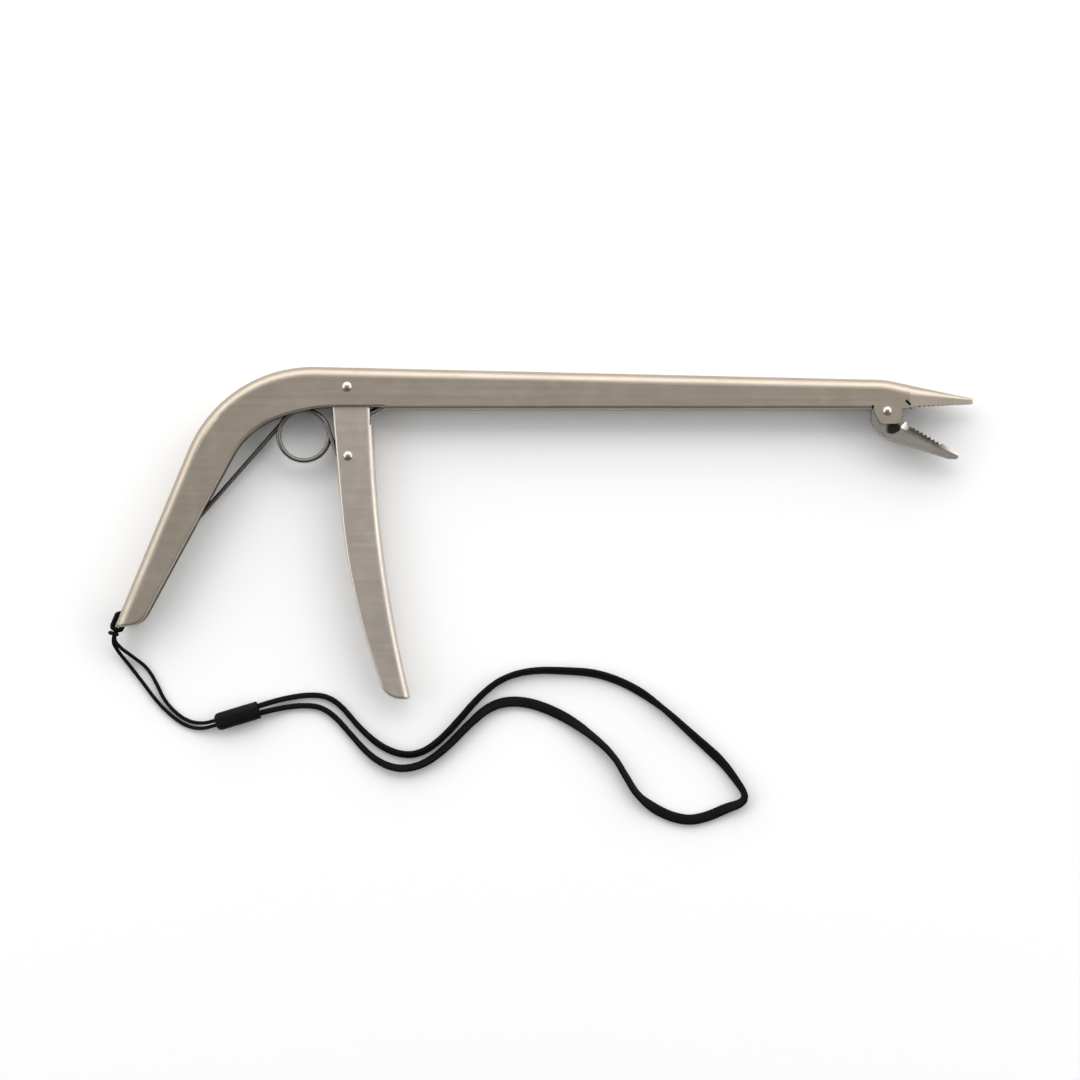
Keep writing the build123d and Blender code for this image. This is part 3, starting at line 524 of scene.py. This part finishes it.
for name, route in (("upper", string_upper_route), ("lower", string_lower_route)):
    string, line = braided_tube(
        f"string_{name}",
        route,
        (STRING, STRING),
        ((0, 0), (1, 0)),
        STRING_WEAVE,
        string_black,
        STRING_SIDES,
        STRING_STEP,
    )
    declare_cord(string, f"lanyard_string_{name}")

# How the flat braid is turned: mostly more or less on its edge, nearly flat in two stretches of the way back
turns = (
    (0.0, 88),
    (0.07, 80),
    (0.12, 60),
    (0.2, 64),
    (0.26, 70),
    (0.33, 50),
    (0.38, 49),
    (0.40, 75),
    (0.46, 36),
    (0.50, 72),
    (0.53, 4),
    (0.58, 2),
    (0.60, 62),
    (0.64, 72),
    (0.67, 55),
    (0.70, 6),
    (0.73, 4),
    (0.78, 52),
    (0.86, 62),
    (0.92, 70),
    (0.97, 84),
    (1.0, 88),
)
wrist, line = braided_tube(
    "wrist_braid",
    wrist_route,
    (BRAID_WIDTH, BRAID_HEIGHT),
    turns,
    BRAID_WEAVE,
    cord_black,
    sides=48,
    step=0.2 * MM,
    end_width=BRAID_HEIGHT,
)
declare_cord(wrist, "wrist_cord")


# The hitch: the string goes through the hole in the handle's back, round its end, and under its own bight.
def from_pivot(x, y, z=0.0):
    return np.array(trigger_pivot) + np.array([x, y, z]) * MM


def turned(angle):
    return np.array([cos(radians(angle)), sin(radians(angle)), 0.0])


def ring(centre, across, up, half_across, half_up, corner, count=14):
    """A closed rounded rectangle of points round a centre."""
    points = []
    for sx, sy, start in ((1, 1, 0), (-1, 1, 90), (-1, -1, 180), (1, -1, 270)):
        for angle in np.radians(np.linspace(start, start + 90, count)):
            a = sx * (half_across - corner) + corner * cos(angle)
            b = sy * (half_up - corner) + corner * sin(angle)
            points.append(centre + across * a * MM + up * b * MM)
    return np.array(points)


def closed_string(name, loop, thickness, weave):
    """A braided string that runs once round a closed loop of points."""
    strands, pitch, relief = weave
    loop = np.vstack([loop, loop[:1]])
    line, stations = evenly(loop, STRING_STEP)
    line = line[:-1]
    tangent = np.roll(line, -1, axis=0) - np.roll(line, 1, axis=0)
    tangent /= np.linalg.norm(tangent, axis=1)[:, None]
    centre = line.mean(axis=0)
    flat = np.linalg.svd(line - centre)[2][2]
    out = np.cross(tangent, flat)
    out /= np.linalg.norm(out, axis=1)[:, None]
    sides = STRING_SIDES
    around = np.arange(sides) / sides
    vertices = []
    for i in range(len(line)):
        lift = braid(around, stations[i], strands, pitch)
        radius = thickness / 2 - relief * (1 - lift)
        x, y = radius * np.cos(2 * pi * around), radius * np.sin(2 * pi * around)
        vertices.append(line[i] + out[i] * x[:, None] + flat * y[:, None])
    faces = []
    count = len(line)
    for i in range(count):
        for j in range(sides):
            a, b, k = i * sides, ((i + 1) % count) * sides, (j + 1) % sides
            faces.append((a + j, a + k, b + k, b + j))
    return add_mesh(name, np.concatenate(vertices), faces, string_black, "frame")


HANDLE = 67.4  # slope of the handle's back, degrees
TAIL = (-65.6, -67.8)  # the handle's end, from the trigger pivot
HOLE_FROM_TAIL = 4.5  # along the handle's back
hole = from_pivot(
    TAIL[0] + HOLE_FROM_TAIL * cos(radians(HANDLE)),
    TAIL[1] + HOLE_FROM_TAIL * sin(radians(HANDLE)),
)
down_back, inward = turned(HANDLE + 180), turned(HANDLE - 90)
# In millimetres: how far down the back and inward from the hole each ring's middle lies, and the ring's half
# sizes and corner radius
STRAND_PLACE, STRAND_RING = (2.47, 0.5), (2.3, 1.3, 0.85)
STRAND_OFFSET = 0.7  # of each strand from the tool's middle plane
BIGHT_PLACE, BIGHT_RING = (6.1, 0.3), (0.95, 1.6, 0.8)
STRAND_TURN = 6  # from the handle's back to the way the strands run at the bight, degrees


def from_hole(down, inside):
    return hole + down_back * down * MM + inward * inside * MM


hitch_parts = []
for side in (-1, 1):
    middle = from_hole(*STRAND_PLACE) + UP * side * STRAND_OFFSET * MM
    loop = ring(middle, down_back, inward, *STRAND_RING)
    hitch_parts.append(closed_string(f"hitch_strand_{side + 2}", loop, KNOT_STRING, KNOT_WEAVE))
# The bight lies across both strands, just past the end of the handle.
strand_way = turned(HANDLE + 180 + STRAND_TURN)
loop = ring(from_hole(*BIGHT_PLACE), np.cross(strand_way, UP), UP, *BIGHT_RING)
hitch_parts.append(closed_string("hitch_bight", loop, STRING, STRING_WEAVE))
for part in hitch_parts:
    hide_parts("lanyard_hitch")


# ---------------------------------------------------------------- spring
# One wire: the hook on the anchor's bush, the front leg, the coil and the rear leg in the handle.
# In millimetres: the radii of wire, coil and hook, and the coil's pitch. Places are from the trigger pivot.
WIRE, COIL, PITCH, HOOK = 0.65, 7.1, 1.45, 2.62
REAR_LENGTH = 62.2
coil_middle, anchor = np.array([-12.3, -13.6, 0]), np.array([0.2, -19.4, 0])
apart = anchor - coil_middle
reach = hypot(apart[0], apart[1])
front_angle = degrees(atan2(apart[1], apart[0])) - degrees(np.arcsin((COIL + HOOK) / reach))
rear_angle, front_z = 48.7, 1.3  # the rear leg's slope, and the front leg's height over the middle plane
coil_turn = 720 + rear_angle - front_angle
HOOK_TURN = 150  # how far the hook goes round the anchor's bush, degrees
wire_line = []
for angle in np.linspace(front_angle + 270 + HOOK_TURN, front_angle + 270, 40):
    wire_line.append(anchor + turned(angle) * HOOK + UP * front_z)
for share in np.linspace(0, 1, 12)[1:-1]:
    first = anchor + turned(front_angle - 90) * HOOK
    last = coil_middle + turned(front_angle + 90) * COIL
    wire_line.append(first + (last - first) * share + UP * front_z)
for angle in np.linspace(0, coil_turn, 220):
    drop = UP * (front_z - PITCH * angle / 360)
    wire_line.append(coil_middle + turned(front_angle + 90 + angle) * COIL + drop)
rear_z = front_z - PITCH * coil_turn / 360
rear_start = coil_middle + turned(rear_angle + 90) * COIL + UP * rear_z
for share in np.linspace(0, 1, 60)[1:]:
    wire_line.append(rear_start - turned(rear_angle) * REAR_LENGTH * share)
wire_line = np.array([from_pivot(*p) for p in wire_line])


def wire_tube(name, line, radius, material, sides=20):
    """A round wire along close points, with its cut ends slightly rounded."""
    tangent = np.gradient(line, axis=0)
    tangent /= np.linalg.norm(tangent, axis=1)[:, None]
    side = np.cross(UP, tangent)
    side /= np.linalg.norm(side, axis=1)[:, None]
    normal = np.cross(tangent, side)
    rows = []
    last = len(line) - 1
    for i, way in ((0, 1), (last, -1)):
        rows.append([])
        for angle in np.radians((25, 50, 72)):
            inset = tangent[i] * way * radius * (1 - cos(angle)) * 0.5
            rows[-1].append((line[i] + inset, i, sin(angle)))
    ends = rows[0] + [(line[i], i, 1.0) for i in range(1, last)] + rows[1][::-1]
    angle = 2 * pi * np.arange(sides) / sides
    vertices = []
    for middle, i, share in ends:
        x, y = radius * share * np.cos(angle), radius * share * np.sin(angle)
        vertices.append(middle + side[i] * x[:, None] + normal[i] * y[:, None])
    faces = []
    for i in range(len(ends) - 1):
        for j in range(sides):
            k = (j + 1) % sides
            faces.append((i * sides + j, i * sides + k, (i + 1) * sides + k, (i + 1) * sides + j))
    end = (len(ends) - 1) * sides
    faces.append(tuple(reversed(range(sides))))
    faces.append(tuple(end + j for j in range(sides)))
    return add_mesh(name, np.concatenate(vertices), faces, material, None)


spring = wire_tube("spring_wire", wire_line, WIRE * MM, steel_wire_painted_dark)
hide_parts("return_spring")
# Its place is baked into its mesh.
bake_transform(spring)


# ---------------------------------------------------------------- floor and light
def stage_plane(name, size, z, material):
    data = bpy.data.meshes.new(name)
    corners = [(-size, -size, z), (size, -size, z), (size, size, z), (-size, size, z)]
    data.from_pydata(corners, [], [(0, 1, 2, 3)])
    data.materials.append(material)
    piece = bpy.data.objects.new(name, data)
    scene.collection.objects.link(piece)
    return piece


floor = Nodes("floor")
floor.set(Base_Color=(0.94, 0.94, 0.94, 1), Roughness=0.9, Specular_IOR_Level=0.1)
stage_plane("floor", 3.0, 0.0, floor.material)


def softbox(name, place, aim, width, height, power):
    data = bpy.data.lights.new(name, "AREA")
    data.shape = "RECTANGLE"
    data.size, data.size_y = width, height
    data.energy = power
    light = bpy.data.objects.new(name, data)
    light.location = place
    light.rotation_euler = (Vector(aim) - Vector(place)).to_track_quat("-Z", "Y").to_euler()
    scene.collection.objects.link(light)


# Each one's place and aim, its width and height in metres, and its power in watts
softbox("back_box", (0.0, 0.9, 0.6), (0, 0, 0), 2.2, 1.0, 10.0)
softbox("left_box", (-0.9, 0.15, 0.45), (0, 0, 0), 1.2, 0.5, 2.2)
softbox("right_box", (0.9, 0.15, 0.45), (0, 0, 0), 1.2, 0.5, 2.2)

# A white tent: bright walls, a dim roof where the camera looks in, and a dark opening at the front
world = bpy.data.worlds.new("world")
world.use_nodes = True
tree = world.node_tree
direction = tree.nodes.new("ShaderNodeTexCoord")
parts = tree.nodes.new("ShaderNodeSeparateXYZ")
tree.links.new(direction.outputs["Generated"], parts.inputs["Vector"])
strength = tree.nodes.new("ShaderNodeMath")
strength.operation = "MULTIPLY"
# The roof by height, and the dark opening by how far to the front; each from low..high to at_low..at_high
for socket, (axis, low, high, at_low, at_high) in enumerate(
    (
        ("Z", 0.62, 0.95, 1.3, 0.5),
        ("Y", -0.65, 0.15, 0.15, 1.0),
    )
):
    ramp = tree.nodes.new("ShaderNodeMapRange")
    ramp.interpolation_type = "SMOOTHSTEP"
    tree.links.new(parts.outputs[axis], ramp.inputs["Value"])
    for key, value in (("From Min", low), ("From Max", high), ("To Min", at_low), ("To Max", at_high)):
        ramp.inputs[key].default_value = value
    tree.links.new(ramp.outputs["Result"], strength.inputs[socket])
tree.links.new(strength.outputs["Value"], tree.nodes["Background"].inputs["Strength"])
tree.nodes["Background"].inputs["Color"].default_value = (1, 1, 1, 1)
scene.world = world
